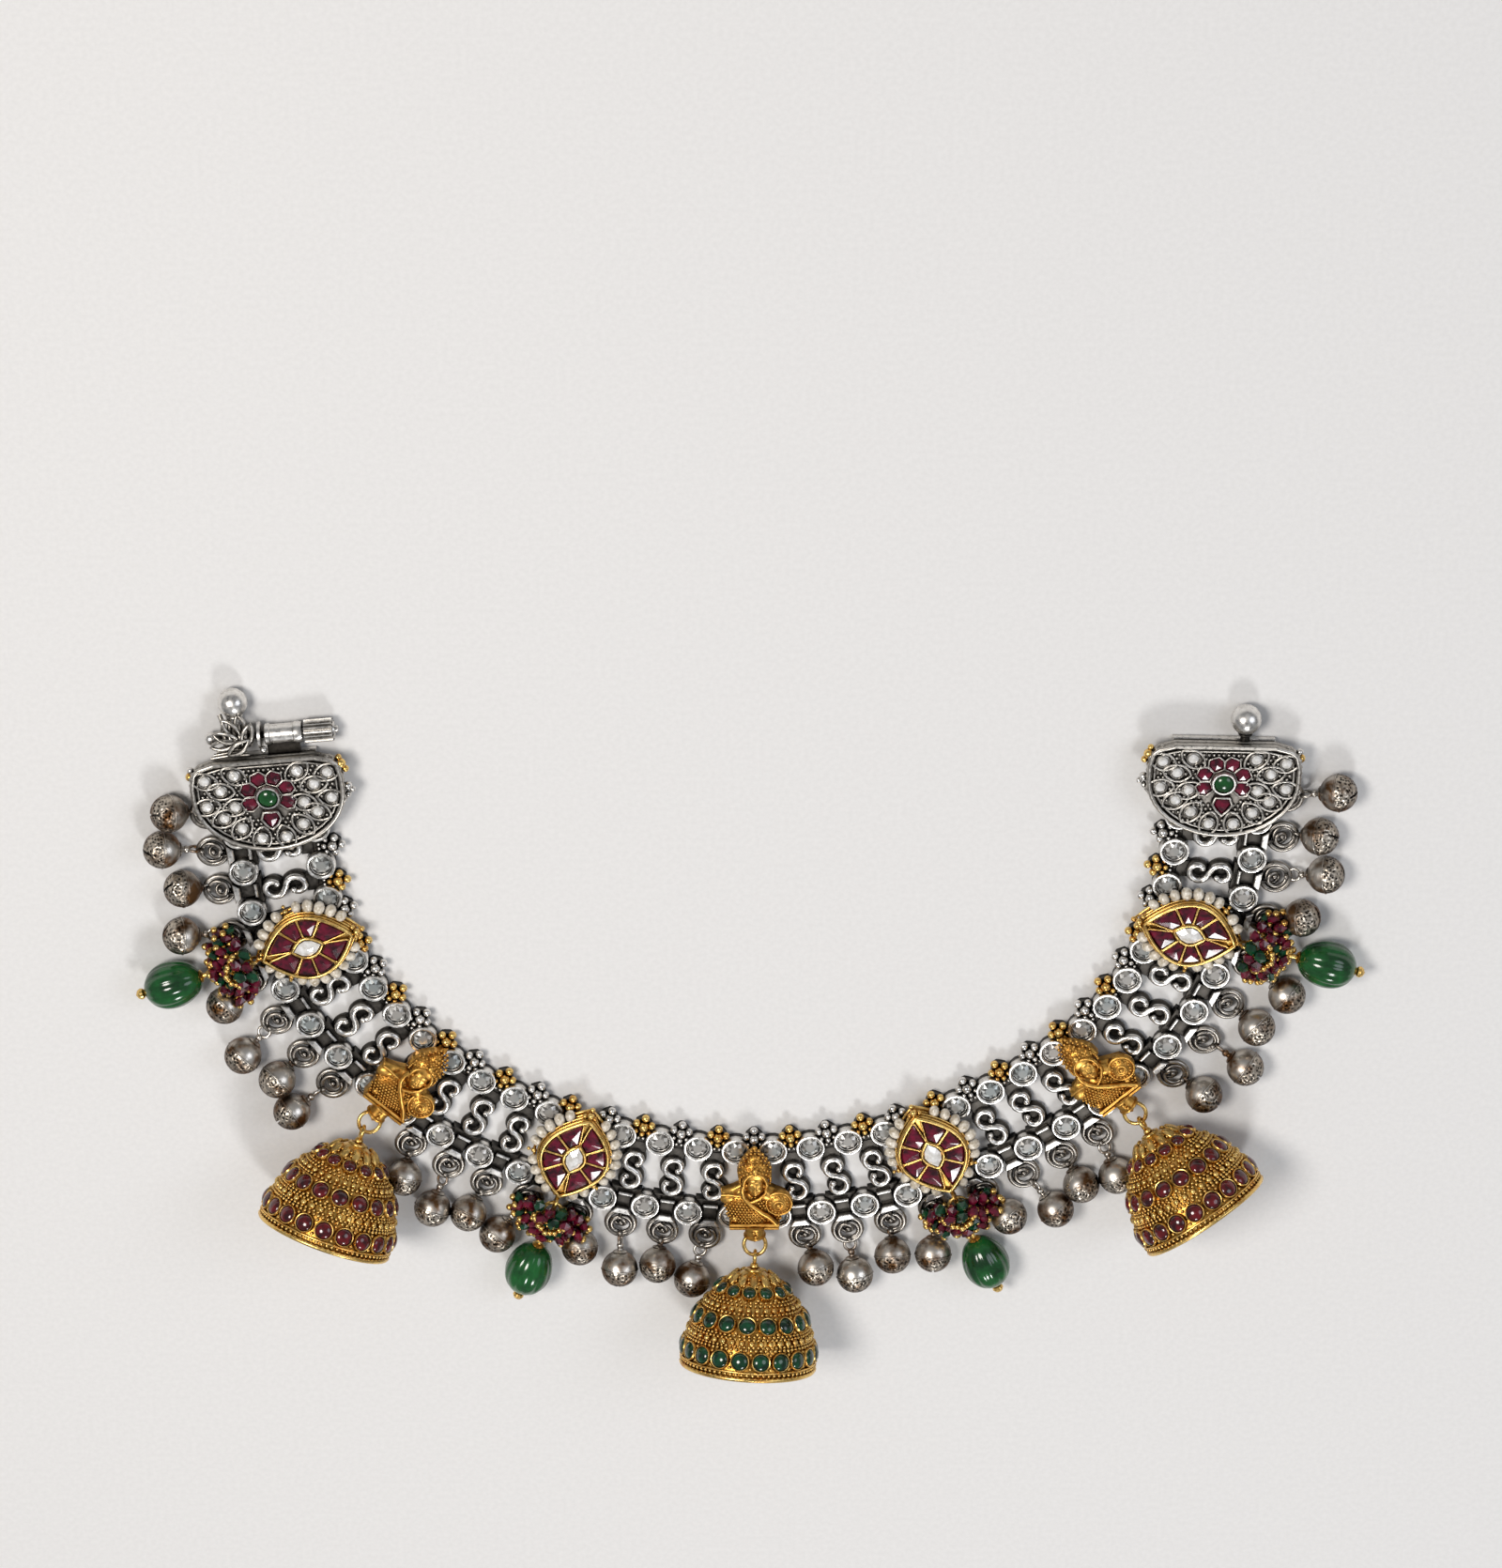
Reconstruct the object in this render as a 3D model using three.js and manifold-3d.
// A payal, an open anklet of oxidised silver laid flat: a pierced band of S scrolls and round bezels that
// carries marquise rosettes, small gold busts, bell domes, melon drops and a fringe of round bells.
// Millimetres, +Z up, resting on z = 0. The band's two ends point to +Y.
import * as THREE from "three";
import { mergeVertices } from "three/addons/utils/BufferGeometryUtils.js";
import Module from "manifold-3d";

// The band's centre line as it lies, from the clasp end round to the ball end.
const ROUTE = [
  [-78.7, 44.4],
  [-77.2, 28],
  [-75.4, 14.5],
  [-71, 2.2],
  [-63.5, -9.2],
  [-52.5, -20.2],
  [-38.5, -28.8],
  [-20.5, -35.2],
  [0, -38],
  [19.5, -35.4],
  [37.5, -28.4],
  [52.5, -18.8],
  [64.5, -6.6],
  [71.5, 7],
  [74.8, 20.5],
  [76.2, 34],
  [76.5, 47],
];

// What each stretch of the band holds: scroll cells, a figure's cell, or a rosette's seat two cells long.
const BAYS = ["scroll", "rosette", "scroll", "figure", "scroll", "rosette", "scroll", "figure"];
const LAYOUT = [...BAYS, ...[...BAYS].reverse().slice(1)];
const SCROLLS_IN_BAY = 3;
const ROSETTE_CELLS = 2;

// How each round bell lies, in degrees from straight out of the band, one row for each bay of four.
const BELL_SWING = [
  [-14, -14, -18, -24],
  [24, 16, 6, -8],
  [24, 11, -5, -20],
  [24, 12, 2, -10],
  [12, -2, -12, -24],
  [24, 13, 1, -14],
  [10, 0, -12, -24],
  [24, 18, 14, 14],
];

// Clearance between pieces that touch on the real anklet.
const GAP = 0.3;

// Band
const PLATE = 1.7;
const END_COVER = 8;
const SCROLL_BEND = 1.6;
const SCROLL_HALF_WIDTH = 1.05;
const BEZEL_RADIUS = 2.4;
const BEZEL_HEIGHT = 2.2;
const BEZEL_ROW = 6.4;
const RAIL_WIDTH = 1.2;
const RAIL_LENGTH = 5.2;
const STEM_WIDTH = 2.6;
const TREFOIL_WIDTH = 3.9;
const TREFOIL_REACH = 10.8;
const EYE_REACH = 8.6;
const EYE_HOLE = 1.8;
const EYE_WALL = 0.45;
const EYE_THICKNESS = 0.7;

// Round bells on jump rings
const BELL_RADIUS = 3.15;
// Every other bell hangs on a longer neck.
const BELL_REACH = [6, 8.2];
const RING_RADIUS = 2.35;
const RING_WIRE = 0.7;

// Marquise rosettes
const ROSETTE_LENGTH = 15.2;
const ROSETTE_WIDTH = 11.7;
const ROSETTE_HEIGHT = 2.4;
const PEARL_RIM = 1.4;
const PEARL_HEIGHT = 1.1;
const ROSETTE_SHIFT = 1.1;
const ROSETTE_EYE_REACH = 8.8;
const ROSETTE_EYE_HEIGHT = 3.95;

// Melon drops and the bead clusters round their pins
const MELON_RADIUS = 3.95;
const MELON_LENGTH = 9.9;
const MELON_REACH = 13.8;
const MELON_RING_RADIUS = 1.55;
const MELON_WIRE = 0.7;
const PIN_RADIUS = 0.45;
const END_BEAD = 0.95;
const CLUSTER_RADIUS = 3.5;

// Gold busts
const FIGURE_WIDTH = 11.6;
const FIGURE_TOP = 7.6;
const FIGURE_BASE = 5;
const FIGURE_THICKNESS = 2;
const FIGURE_HEAD = 2.1;
const KNOB_RADIUS = 1.4;
const KNOB_REACH = 8.4;
const KNOB_HEIGHT = 4.5;
const KNOB_HOLE = 1.7;
const KNOB_THICKNESS = 1.4;

// Bell domes
const DOME_RADIUS = 11.4;
const DOME_HEIGHT = 16.8;
const DOME_WALL = 0.9;
const DOME_TILT = 20;
const DOME_YAW = [-22, -4, 37];
const LOOP_RADIUS = 1.1;
const LOOP_WIRE = 0.6;
const LOOP_REACH = 2.1;
const DOME_RING_RADIUS = 1.85;
const DOME_RING_WIRE = 0.6;
// Outer profile of a dome from its rim to its crown, as shares of its height and radius.
const DOME_PROFILE = [
  { height: 0, radius: 0.98 },
  { height: 0.06, radius: 1 },
  { height: 0.31, radius: 0.95 },
  { height: 0.48, radius: 0.86 },
  { height: 0.66, radius: 0.72 },
  { height: 0.8, radius: 0.54 },
  { height: 0.92, radius: 0.34 },
  { height: 1, radius: 0.15 },
];

// End plates and the clasp
const END_FLAT = 17.4;
const END_WIDTH = 24.5;
const END_DEPTH = 16.6;
const END_SHOULDER = 6.6;
const END_THICKNESS = 2.1;
const END_GAP = 1.2;
const END_BEZEL = 2.2;
const END_BALL = 2.5;
const END_BALL_REACH = 3.4;
const END_BALL_SHIFT = 3.2;
const CLASP_REACH = 3.1;
const CLASP_HEIGHT = 2.4;
const BARREL_RADIUS = 1.75;
const BARREL_LENGTH = 6.7;
const SHANK_RADIUS = 0.6;
const SHANK_LENGTH = 5.4;
const SCREW_HEAD_RADIUS = 1.95;
const SCREW_HEAD_LENGTH = 4.9;
const POST_RADIUS = 0.6;
const POST_LENGTH = 6.6;
const COLLAR_RADIUS = 2.2;
const COLLAR_LENGTH = 0.6;
const TIP_BALL = 1;
const KNOT_RADIUS = 2.2;
const KNOT_LENGTH = 4.2;
const KNOT_BALL = 2.4;
const KNOT_BALL_REACH = 6.2;

// Facets
const ROUND_SIDES = 10;
const BEZEL_SIDES = 8;
const SCROLL_STEPS = 3;
const DOME_SIDES = 12;
const WIRE_SIDES = 5;
const WELD = 1e-4;

const SILVER = { color: 0x8d8a86, roughness: 0.36, metalness: 1 };
const DARK_SILVER = { color: 0x6d6864, roughness: 0.42, metalness: 1 };
const GOLD = { color: 0xc08a35, roughness: 0.34, metalness: 1 };
const EMERALD = { color: 0x14632f, roughness: 0.15, metalness: 0 };
const RUBY = { color: 0x6b0f2c, roughness: 0.2, metalness: 0 };

const wasm = await Module();
wasm.setup();

function toSolid(geometry) {
  const bare = geometry.index ? geometry.toNonIndexed() : geometry.clone();
  bare.deleteAttribute("normal");
  bare.deleteAttribute("uv");
  const merged = mergeVertices(bare, WELD);
  const vertProperties = merged.attributes.position.array;
  const triVerts = new Uint32Array(merged.index.array);
  return new wasm.Manifold(new wasm.Mesh({ numProp: 3, vertProperties, triVerts }));
}

function toGeometry(solid) {
  const mesh = solid.getMesh();
  const geometry = new THREE.BufferGeometry();
  geometry.setAttribute("position", new THREE.BufferAttribute(mesh.vertProperties, 3));
  geometry.setIndex(new THREE.BufferAttribute(mesh.triVerts, 1));
  return geometry;
}

function joined(geometries) {
  return geometries.map(toSolid).reduce((whole, next) => whole.add(next));
}

function join(geometries) {
  return toGeometry(joined(geometries));
}

// A flat piece of the given outline, from z = bottom up to z = top.
function plate(outline, bottom, top) {
  const shape = new THREE.Shape(outline.map(([x, y]) => new THREE.Vector2(x, y)));
  const geometry = new THREE.ExtrudeGeometry(shape, { depth: top - bottom, bevelEnabled: false });
  return geometry.translate(0, 0, bottom);
}

function box(x0, x1, y0, y1, z0, z1) {
  const geometry = new THREE.BoxGeometry(x1 - x0, y1 - y0, z1 - z0);
  return geometry.translate((x0 + x1) / 2, (y0 + y1) / 2, (z0 + z1) / 2);
}

// A turned piece about the Y axis, from [radius, y] pairs in rising order.
function turned(profile, sides = ROUND_SIDES) {
  return new THREE.LatheGeometry(
    profile.map(([radius, y]) => new THREE.Vector2(radius, y)),
    sides,
  );
}

function ball(radius) {
  const belt = radius * Math.SQRT1_2;
  return turned([
    [0, -radius],
    [belt, -belt],
    [radius, 0],
    [belt, belt],
    [0, radius],
  ]);
}

function wireRing(radius, wire) {
  return new THREE.TorusGeometry(radius, wire / 2, WIRE_SIDES, ROUND_SIDES);
}

// A closed skin through rings of equal point counts, each a list of [x, y] at its own z.
function stacked(levels) {
  const count = levels[0].outline.length;
  const vertices = levels.flatMap(({ outline, z }) => outline.flatMap(([x, y]) => [x, y, z]));
  const faces = [];
  for (let level = 1; level < levels.length; level++) {
    for (let i = 0; i < count; i++) {
      const next = (i + 1) % count;
      const low = (level - 1) * count;
      const high = level * count;
      faces.push(low + i, low + next, high + next, low + i, high + next, high + i);
    }
  }
  const top = (levels.length - 1) * count;
  for (let i = 1; i < count - 1; i++) {
    faces.push(0, i + 1, i, top, top + i, top + i + 1);
  }
  const geometry = new THREE.BufferGeometry();
  geometry.setAttribute("position", new THREE.Float32BufferAttribute(vertices, 3));
  geometry.setIndex(faces);
  return geometry;
}

// An upright plate in the Y-Z plane with a square eye at its end, from y = -start outwards.
function eyePlate({ start, reach, height, hole, wall, thickness }) {
  const open = hole / 2;
  const outer = open + wall;
  const shape = new THREE.Shape();
  shape.moveTo(start, height - outer);
  shape.lineTo(reach + outer, height - outer);
  shape.lineTo(reach + outer, height + outer);
  shape.lineTo(start, height + outer);
  const eye = new THREE.Path();
  eye.moveTo(reach - open, height - open);
  eye.lineTo(reach - open, height + open);
  eye.lineTo(reach + open, height + open);
  eye.lineTo(reach + open, height - open);
  shape.holes.push(eye);
  const geometry = new THREE.ExtrudeGeometry(shape, { depth: thickness, bevelEnabled: false });
  geometry.translate(0, 0, -thickness / 2);
  // The outline's x runs outwards, to -Y, and its y runs up.
  return geometry.rotateX(Math.PI / 2).rotateZ(-Math.PI / 2);
}

const root = new THREE.Group();

function addSpot({ x, y, turn }) {
  const spot = new THREE.Group();
  spot.position.set(x, y, 0);
  spot.rotation.z = turn;
  root.add(spot);
  return spot;
}

function addPiece(name, geometry, finish, parent) {
  const mesh = new THREE.Mesh(geometry, new THREE.MeshStandardMaterial(finish));
  mesh.name = name;
  parent.add(mesh);
  return mesh;
}

const route = new THREE.CatmullRomCurve3(ROUTE.map(([x, y]) => new THREE.Vector3(x, y, 0)));
route.arcLengthDivisions = 800;
const routeLength = route.getLength();

// The place on the band at a distance along it: +X runs along the band and +Y into the loop.
function place(distance) {
  const share = distance / routeLength;
  const at = route.getPointAt(share);
  const along = route.getTangentAt(share);
  return { x: at.x, y: at.y, turn: Math.atan2(along.y, along.x) };
}

// The cells in order, each with its kind, its middle in pitches, and its bell's place in its bay.
function chartCells() {
  const cells = [];
  let at = 0;
  for (const kind of LAYOUT) {
    if (kind === "scroll") {
      for (let i = 0; i < SCROLLS_IN_BAY; i++) cells.push({ kind, middle: at + i + 0.5 });
      at += SCROLLS_IN_BAY;
    } else if (kind === "rosette") {
      cells.push({ kind, middle: at + ROSETTE_CELLS / 2 });
      at += ROSETTE_CELLS;
    } else {
      cells.push({ kind, middle: at + 0.5 });
      at += 1;
    }
  }
  return { cells, count: at };
}

const { cells, count: cellCount } = chartCells();
const pitch = (routeLength - 2 * END_COVER) / cellCount;
const cellPlace = (pitches) => place(END_COVER + pitches * pitch);

function scrollOutline() {
  const steps = SCROLL_STEPS;
  const first = THREE.MathUtils.degToRad(-10);
  const last = THREE.MathUtils.degToRad(270);
  const upper = [];
  for (let i = 0; i < steps; i++) {
    const angle = first + ((last - first) * i) / steps;
    upper.push([SCROLL_BEND * Math.cos(angle), SCROLL_BEND * (1 + Math.sin(angle)), angle]);
  }
  const side = (points, offset) =>
    points.map(([, , angle]) => {
      const radius = SCROLL_BEND + offset;
      return [radius * Math.cos(angle), SCROLL_BEND + radius * Math.sin(angle)];
    });
  const outer = side(upper, SCROLL_HALF_WIDTH);
  const inner = side(upper, -SCROLL_HALF_WIDTH);
  const flipped = (points) => points.map(([x, y]) => [-x, -y]);
  // Outer edge of the upper bend, inner edge of the lower one, and back by the same way turned round.
  return [...outer, ...flipped(inner).reverse(), ...flipped(outer), ...inner.reverse()];
}

function trefoilOutline() {
  const low = SCROLL_BEND * 2 + SCROLL_HALF_WIDTH - RAIL_WIDTH / 3;
  const half = STEM_WIDTH / 2;
  const wide = TREFOIL_WIDTH / 2;
  const shoulder = (BEZEL_ROW + TREFOIL_REACH) / 2;
  return [
    [-half, low],
    [half, low],
    [wide, shoulder],
    [0, TREFOIL_REACH],
    [-wide, shoulder],
  ];
}

const eyeHeight = EYE_HOLE / 2 + EYE_WALL;

function bandEye(start) {
  return eyePlate({
    start,
    reach: EYE_REACH,
    height: eyeHeight,
    hole: EYE_HOLE,
    wall: EYE_WALL,
    thickness: EYE_THICKNESS,
  });
}

function scrollCell(withEye) {
  const low = SCROLL_BEND * 2 + SCROLL_HALF_WIDTH - RAIL_WIDTH / 3;
  const parts = [
    plate(scrollOutline(), 0, PLATE),
    plate(trefoilOutline(), 0, PLATE),
    box(-RAIL_LENGTH / 2, RAIL_LENGTH / 2, -low - RAIL_WIDTH, -low, 0, PLATE),
  ];
  if (withEye) parts.push(bandEye(low + RAIL_WIDTH / 2));
  return join(parts);
}

function rosetteSeat() {
  const wide = pitch * (ROSETTE_CELLS / 2) - BEZEL_RADIUS / 2;
  const long = BEZEL_ROW + SCROLL_HALF_WIDTH;
  const outline = [
    [wide, -long + BEZEL_RADIUS],
    [wide, long - BEZEL_RADIUS],
    [wide - BEZEL_RADIUS, long],
    [-wide + BEZEL_RADIUS, long],
    [-wide, long - BEZEL_RADIUS],
    [-wide, -long + BEZEL_RADIUS],
    [-wide + BEZEL_RADIUS, -long],
    [wide - BEZEL_RADIUS, -long],
  ];
  const parts = [plate(outline, 0, BEZEL_HEIGHT)];
  for (let i = 0; i < ROSETTE_CELLS; i++) {
    const x = (i + 0.5 - ROSETTE_CELLS / 2) * pitch;
    parts.push(bandEye(long - RAIL_WIDTH / 2).translate(x, 0, 0));
  }
  return join(parts);
}

function bezelPair() {
  const bezel = turned(
    [
      [0, 0],
      [BEZEL_RADIUS, 0],
      [BEZEL_RADIUS, BEZEL_HEIGHT],
      [0, BEZEL_HEIGHT],
    ],
    BEZEL_SIDES,
  ).rotateX(Math.PI / 2);
  const low = bezel.clone().translate(0, -BEZEL_ROW, 0);
  const high = bezel.clone().translate(0, BEZEL_ROW, 0);
  return [low, high];
}

function laid(geometry, { x, y, turn }) {
  return geometry.clone().rotateZ(turn).translate(x, y, 0);
}

function makeBand() {
  const forms = {
    scroll: scrollCell(true),
    figure: scrollCell(false),
    rosette: rosetteSeat(),
  };
  const parts = cells.map((cell) => laid(forms[cell.kind], cellPlace(cell.middle)));
  const hidden = cells
    .filter((cell) => cell.kind === "rosette")
    .map((cell) => cell.middle);
  for (let edge = 1; edge < cellCount; edge++) {
    if (hidden.includes(edge)) continue;
    for (const bezel of bezelPair()) parts.push(laid(bezel, cellPlace(edge)));
  }
  addPiece("band", join(parts), SILVER, root);
}

// The ring's wire passes the origin, and the bell lies out along -Y on the ground.
function bellOnRing(reach) {
  const rise = BELL_RADIUS - eyeHeight;
  const neck = reach - RING_RADIUS;
  const bead = turned([
    [0, -BELL_RADIUS],
    [BELL_RADIUS * 0.9, -BELL_RADIUS * 0.44],
    [BELL_RADIUS * 0.9, BELL_RADIUS * 0.44],
    [0, Math.hypot(rise, neck) + RING_WIRE / 4],
  ]);
  bead.rotateX(-Math.atan2(rise, neck)).translate(0, -RING_RADIUS - reach, rise);
  const ring = wireRing(RING_RADIUS, RING_WIRE).translate(0, -RING_RADIUS, 0);
  return join([ring, bead]);
}

function makeBells() {
  const forms = BELL_REACH.map(bellOnRing);
  const hangers = cells.flatMap((cell) => {
    if (cell.kind === "figure") return [];
    if (cell.kind === "scroll") return [{ middle: cell.middle, shift: 0 }];
    return [-0.5, 0.5].map((share) => ({ middle: cell.middle, shift: share * pitch }));
  });
  hangers.forEach(({ middle, shift }, i) => {
    const name = `ghungroo_${String(i + 1).padStart(2, "0")}`;
    const spot = addSpot(cellPlace(middle));
    const bell = addPiece(name, forms[i % forms.length], DARK_SILVER, spot);
    bell.position.set(shift, -EYE_REACH, eyeHeight);
    bell.rotation.z = THREE.MathUtils.degToRad(BELL_SWING[Math.floor(i / 4)][i % 4]);
  });
}

// A marquise outline, pointed at +Y and -Y.
function marquise(halfLength, halfWidth) {
  const sides = 6;
  const radius = (halfLength ** 2 + halfWidth ** 2) / (2 * halfWidth);
  const sweep = Math.asin(halfLength / radius);
  const points = [];
  for (const side of [1, -1]) {
    for (let i = 0; i < sides; i++) {
      const angle = -sweep + (2 * sweep * i) / sides;
      points.push([
        side * (radius * Math.cos(angle) - (radius - halfWidth)),
        side * radius * Math.sin(angle),
      ]);
    }
  }
  return points;
}

function makeRosettes() {
  const long = ROSETTE_LENGTH / 2;
  const wide = ROSETTE_WIDTH / 2;
  const base = BEZEL_HEIGHT + GAP;
  const step = base + PEARL_HEIGHT;
  const top = base + ROSETTE_HEIGHT;
  const body = stacked([
    { outline: marquise(long + PEARL_RIM, wide + PEARL_RIM), z: base },
    { outline: marquise(long + PEARL_RIM, wide + PEARL_RIM), z: step },
    { outline: marquise(long, wide), z: step },
    { outline: marquise(long, wide), z: top },
    { outline: marquise(long * 0.45, wide * 0.45), z: top + PEARL_HEIGHT / 2 },
  ]).translate(0, ROSETTE_SHIFT, 0);
  const eye = eyePlate({
    start: long - ROSETTE_SHIFT - EYE_HOLE,
    reach: ROSETTE_EYE_REACH,
    height: ROSETTE_EYE_HEIGHT,
    hole: EYE_HOLE,
    wall: EYE_WALL,
    thickness: EYE_THICKNESS,
  });
  const geometry = join([body, eye]);
  cells
    .filter((cell) => cell.kind === "rosette")
    .forEach((cell, i) => {
      const spot = addSpot(cellPlace(cell.middle));
      addPiece(`navette_${i + 1}`, geometry, GOLD, spot);
      const drop = new THREE.Group();
      drop.position.set(0, -ROSETTE_EYE_REACH, ROSETTE_EYE_HEIGHT);
      spot.add(drop);
      addPiece(`melon_bead_${i + 1}`, melonDrop(), EMERALD, drop);
      addPiece(`bead_cluster_${i + 1}`, beadCluster(), RUBY, drop);
    });
}

// The drop hangs to -Y from the ring's own eye at the origin, with every other side raised as a rib.
function melonDrop() {
  const half = MELON_LENGTH / 2;
  const body = turned(
    [
      [0, -half - END_BEAD * 2],
      [END_BEAD, -half - END_BEAD],
      [END_BEAD / 2, -half],
      [MELON_RADIUS * 0.85, -half * 0.6],
      [MELON_RADIUS, -half * 0.05],
      [MELON_RADIUS * 0.72, half * 0.66],
      [PIN_RADIUS, half],
      [0, MELON_REACH - 2 * MELON_RING_RADIUS + PIN_RADIUS],
    ],
    ROUND_SIDES,
  ).translate(0, -MELON_REACH, 0);
  const ring = wireRing(MELON_RING_RADIUS, MELON_WIRE).translate(0, -MELON_RING_RADIUS, 0);
  return join([body, ring]);
}

function beadCluster() {
  const bore = PIN_RADIUS + GAP;
  const near = -2 * MELON_RING_RADIUS - MELON_WIRE / 2 - GAP;
  const far = MELON_LENGTH / 2 - MELON_REACH + GAP;
  return turned([
    [bore, far],
    [CLUSTER_RADIUS * 0.7, far],
    [CLUSTER_RADIUS, far + (near - far) * 0.4],
    [CLUSTER_RADIUS * 0.9, far + (near - far) * 0.8],
    [bore, near],
    [bore, far],
  ]);
}

// Outline of the bust from the base bar up over the shoulders to the crown's peak.
function bustOutline() {
  const half = FIGURE_WIDTH / 2;
  const side = [
    [half * 0.82, -FIGURE_BASE],
    [half, -FIGURE_BASE * 0.2],
    [half * 0.42, FIGURE_TOP * 0.2],
    [half * 0.5, FIGURE_TOP * 0.56],
  ];
  const mirrored = side.map(([x, y]) => [-x, y]).reverse();
  return [...side, [0, FIGURE_TOP], ...mirrored];
}

function makeFigures() {
  const base = BEZEL_HEIGHT + GAP;
  const top = base + FIGURE_THICKNESS;
  const outline = bustOutline();
  const inner = outline.map(([x, y]) => [x * 0.7, y * 0.78]);
  const bust = stacked([
    { outline, z: base },
    { outline, z: top - FIGURE_THICKNESS / 3 },
    { outline: inner, z: top + FIGURE_THICKNESS / 3 },
  ]);
  const head = ball(FIGURE_HEAD).scale(0.9, 1.15, 1).translate(0, FIGURE_TOP * 0.4, top);
  const knob = eyePlate({
    start: FIGURE_BASE * 0.8,
    reach: KNOB_REACH,
    height: KNOB_HEIGHT,
    hole: KNOB_HOLE,
    wall: KNOB_RADIUS - KNOB_HOLE / 2,
    thickness: KNOB_THICKNESS,
  });
  const geometry = join([bust, head, knob]);
  const dome = domeGeometry();
  const tilt = THREE.MathUtils.degToRad(DOME_TILT);
  const loopY = DOME_HEIGHT + LOOP_REACH;
  // A dome rests where its tilted profile reaches lowest.
  const axisHeight = Math.max(
    ...DOME_PROFILE.map(
      ({ height, radius }) =>
        height * DOME_HEIGHT * Math.sin(tilt) + radius * DOME_RADIUS * Math.cos(tilt),
    ),
  );
  const loopHeight = axisHeight - loopY * Math.sin(tilt);
  const ringTilt = Math.asin((loopHeight - KNOB_HEIGHT) / (2 * DOME_RING_RADIUS));
  const ring = wireRing(DOME_RING_RADIUS, DOME_RING_WIRE).translate(0, -DOME_RING_RADIUS, 0);
  cells
    .filter((cell) => cell.kind === "figure")
    .forEach((cell, i) => {
      const spot = addSpot(cellPlace(cell.middle));
      addPiece(`figure_${i + 1}`, geometry, GOLD, spot);
      const hanging = addPiece(`jhumka_ring_${i + 1}`, ring, GOLD, spot);
      hanging.position.set(0, -KNOB_REACH, KNOB_HEIGHT);
      hanging.rotation.x = -ringTilt;
      const reach = KNOB_REACH + 2 * DOME_RING_RADIUS * Math.cos(ringTilt);
      const hook = new THREE.Group();
      hook.position.set(0, -reach, loopHeight);
      hook.rotation.z = THREE.MathUtils.degToRad(DOME_YAW[i]) - spot.rotation.z;
      spot.add(hook);
      const bell = addPiece(`jhumka_${i + 1}`, dome, GOLD, hook);
      bell.rotation.x = -tilt;
    });
}

// The hollow dome with its loop's centre at the origin and its mouth at -Y.
function domeGeometry() {
  const outer = DOME_PROFILE.map(({ height, radius }) => [radius * DOME_RADIUS, height * DOME_HEIGHT]);
  const inner = outer.map(([radius, y]) => [Math.max(radius - DOME_WALL, 0), y]);
  const crown = inner.findIndex(([, y]) => y > DOME_HEIGHT - 3 * DOME_WALL);
  const hollow = inner.slice(0, crown).filter((_, i) => i % 2 === 0);
  const shell = turned(
    [
      [0, hollow.at(-1)[1] + DOME_WALL],
      ...hollow.reverse(),
      ...outer,
      [0, DOME_HEIGHT + LOOP_REACH - LOOP_RADIUS],
    ],
    DOME_SIDES,
  ).translate(0, -DOME_HEIGHT - LOOP_REACH, 0);
  const loop = wireRing(LOOP_RADIUS, LOOP_WIRE).rotateY(Math.PI / 2);
  return join([shell, loop]);
}

// Half-moon outline with its flat side on y = 0 and its round side at -Y.
function halfMoon() {
  const wide = END_WIDTH / 2;
  const flat = END_FLAT / 2;
  const deep = END_DEPTH - END_SHOULDER;
  const side = [];
  for (let i = 0; i <= 4; i++) {
    const angle = (i * Math.PI) / 10;
    side.push([wide * Math.cos(angle), -END_SHOULDER - deep * Math.sin(angle)]);
  }
  const mirrored = side.map(([x, y]) => [-x, y]).reverse();
  const mid = [(wide + flat) / 2 + 0.9, -END_SHOULDER * 0.38];
  const right = [[flat, 0], mid, ...side];
  const left = [...mirrored, [-mid[0], mid[1]], [-flat, 0]];
  return [...right, [0, -END_DEPTH], ...left].reverse();
}

function endPlateParts() {
  const base = Math.max(BEZEL_HEIGHT, 2 * eyeHeight) + GAP;
  const top = base + END_THICKNESS;
  const stone = turned([
    [0, 0],
    [END_BEZEL, 0],
    [END_BEZEL, END_THICKNESS],
    [0, END_THICKNESS + END_BEZEL / 3],
  ]);
  stone.rotateX(Math.PI / 2).translate(0, -END_SHOULDER - END_BEZEL / 4, base + END_THICKNESS / 3);
  const half = END_FLAT / 2;
  const skirt = END_COVER - BEZEL_RADIUS - END_GAP;
  return [
    plate(halfMoon(), base, top),
    box(-half, half, -skirt, -GAP, 0, base + END_THICKNESS / 2),
    stone,
  ];
}

// An end's own frame has +Y pointing off the band's end.
function addEnd(distance, quarterTurn) {
  const { x, y, turn } = place(distance);
  return addSpot({ x, y, turn: turn + quarterTurn });
}

function makeBallEnd() {
  const bead = ball(END_BALL).translate(END_BALL_SHIFT, END_BALL_REACH, END_BALL);
  const neck = turned([
    [0, -END_BALL / 2],
    [END_BALL / 3, -END_BALL / 2],
    [END_BALL / 3, END_BALL_REACH - END_BALL / 2],
    [0, END_BALL_REACH - END_BALL / 2],
  ]).translate(END_BALL_SHIFT, 0, END_BALL);
  const geometry = join([...endPlateParts(), bead, neck]);
  addPiece("end_plate_right", geometry, SILVER, addEnd(routeLength, -Math.PI / 2));
}

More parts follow.
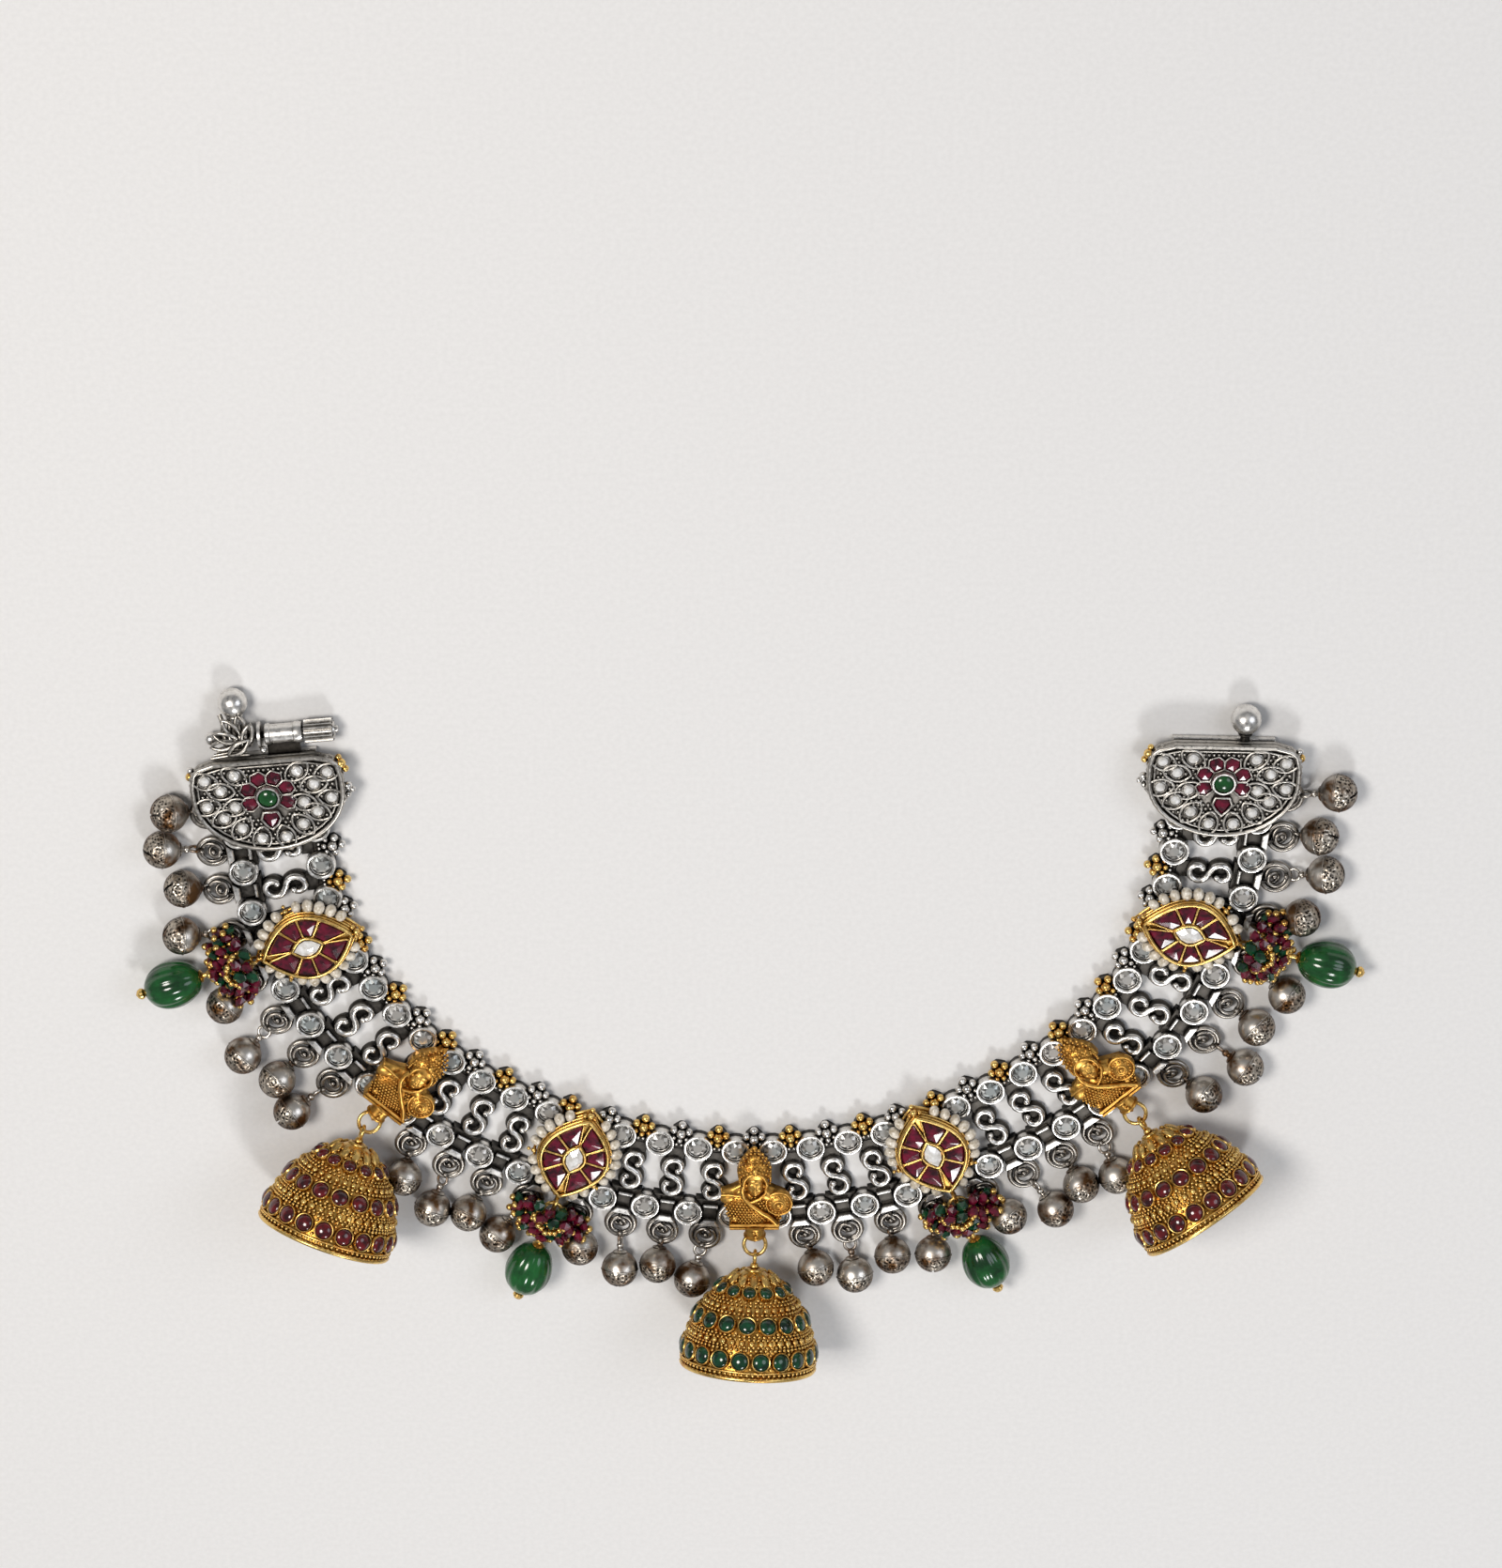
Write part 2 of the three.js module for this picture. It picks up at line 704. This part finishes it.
function makeClaspEnd() {
  const bore = SHANK_RADIUS + GAP;
  // The turned post, collar and barrel run along +X from the tip ball to the barrel's mouth.
  const tip = -POST_LENGTH - COLLAR_LENGTH - 2 * TIP_BALL;
  const barrel = turned([
    [0, tip],
    [TIP_BALL, tip + TIP_BALL],
    [POST_RADIUS, tip + 2 * TIP_BALL],
    [POST_RADIUS, -COLLAR_LENGTH],
    [COLLAR_RADIUS, -COLLAR_LENGTH],
    [COLLAR_RADIUS, 0],
    [BARREL_RADIUS, 0],
    [BARREL_RADIUS, BARREL_LENGTH],
    [bore, BARREL_LENGTH],
    [bore, BARREL_LENGTH - SHANK_LENGTH - GAP],
    [0, BARREL_LENGTH - SHANK_LENGTH - GAP],
  ]);
  barrel.rotateZ(-Math.PI / 2).translate(0, CLASP_REACH, CLASP_HEIGHT);
  const strap = box(
    BARREL_LENGTH * 0.1, BARREL_LENGTH * 0.9, -END_BALL / 2, CLASP_REACH - (bore + BARREL_RADIUS) / 2,
    CLASP_HEIGHT - POST_RADIUS, CLASP_HEIGHT + POST_RADIUS,
  );
  const spot = addEnd(0, Math.PI / 2);
  addPiece("end_plate_left", join([...endPlateParts(), barrel, strap]), SILVER, spot);

  const screw = turned([
    [0, -SHANK_LENGTH],
    [SHANK_RADIUS, -SHANK_LENGTH],
    [SHANK_RADIUS, GAP],
    [SCREW_HEAD_RADIUS, GAP],
    [SCREW_HEAD_RADIUS, GAP + SCREW_HEAD_LENGTH],
    [SHANK_RADIUS, GAP + SCREW_HEAD_LENGTH],
    [SHANK_RADIUS, GAP + SCREW_HEAD_LENGTH + SHANK_RADIUS],
    [0, GAP + SCREW_HEAD_LENGTH + SHANK_RADIUS],
  ], DOME_SIDES);
  const clasp = addPiece("clasp_screw", screw.rotateZ(-Math.PI / 2), SILVER, spot);
  clasp.position.set(BARREL_LENGTH, CLASP_REACH, CLASP_HEIGHT);

  const eye = POST_RADIUS + GAP;
  const coil = turned([
    [eye, -KNOT_LENGTH / 2],
    [KNOT_RADIUS * 0.8, -KNOT_LENGTH / 2],
    [KNOT_RADIUS, 0],
    [KNOT_RADIUS * 0.8, KNOT_LENGTH / 2],
    [eye, KNOT_LENGTH / 2],
    [eye, -KNOT_LENGTH / 2],
  ]).rotateZ(-Math.PI / 2);
  const bead = ball(KNOT_BALL).translate(0, KNOT_BALL_REACH, 0);
  const stalk = turned([
    [0, KNOT_RADIUS * 0.6],
    [POST_RADIUS, KNOT_RADIUS * 0.6],
    [POST_RADIUS, KNOT_BALL_REACH - KNOT_BALL / 2],
    [0, KNOT_BALL_REACH - KNOT_BALL / 2],
  ]);
  const knot = addPiece("wire_knot", join([coil, stalk, bead]), SILVER, spot);
  knot.position.set(-COLLAR_LENGTH - POST_LENGTH / 2, CLASP_REACH, CLASP_HEIGHT);
}

makeBand();
makeClaspEnd();
makeBallEnd();
makeRosettes();
makeFigures();
makeBells();

// The part's origin is the middle of its footprint, on the surface that it lies on.
const bounds = new THREE.Box3().setFromObject(root, true);
const middle = bounds.getCenter(new THREE.Vector3());
root.position.set(-middle.x, -middle.y, -bounds.min.z);

const part = new THREE.Group();
part.add(root);

export default part;
